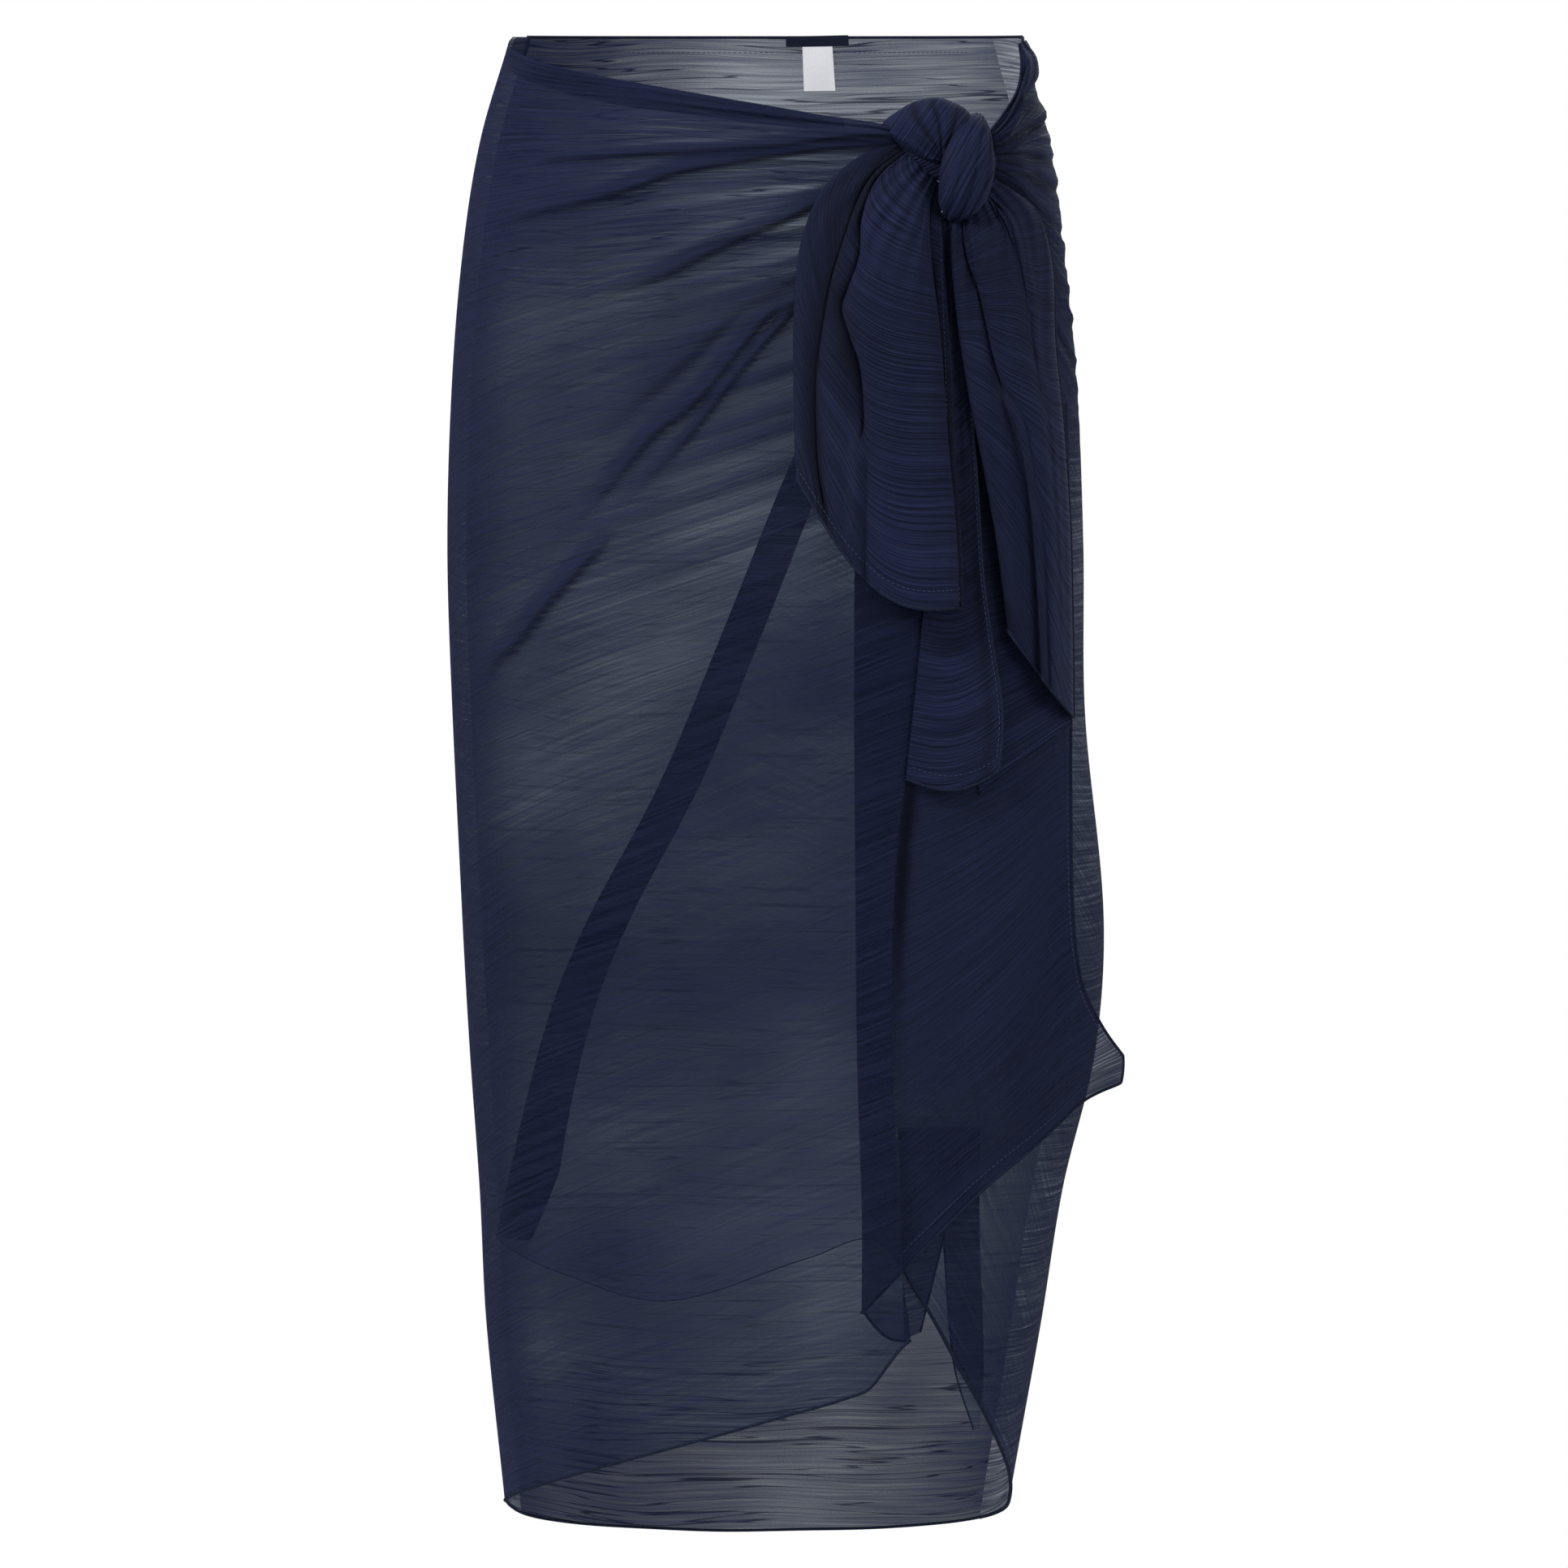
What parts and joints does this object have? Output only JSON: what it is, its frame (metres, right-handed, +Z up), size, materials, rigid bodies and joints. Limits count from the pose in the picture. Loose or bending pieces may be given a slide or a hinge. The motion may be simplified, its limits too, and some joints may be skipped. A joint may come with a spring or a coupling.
{
  "type": "wrap skirt",
  "caption": "Midi wrap skirt: a rectangle of semi-sheer crinkled cloth wound round the hips and knotted at the wearer's left hip, with a cascade below the knot.",
  "frame": {"origin": "middle of the waist, level with the waist edge at the sides, where the wearer holds the skirt up", "axes": "+Z up, the front faces -Y, +X is the wearer's left, the side of the knot"},
  "size_m": [0.3989, 0.284, 0.9075],
  "materials": {
    "navy_cloth": "crinkled semi-sheer navy cloth",
    "dark_tape": "woven dark navy tape",
    "white_tape": "smooth white satin tape"
  },
  "bodies": {
    "root": {"back_stretch": "navy_cloth", "outer_stretch": "navy_cloth", "waist_turn": "navy_cloth", "cascade": "navy_cloth", "under_stretch": "navy_cloth", "inner_corner": "navy_cloth", "tie_end_left": "navy_cloth", "tie_end_right": "navy_cloth", "knot": "navy_cloth", "waist_label": "dark_tape", "care_label": "white_tape"}
  },
  "joints": []
}
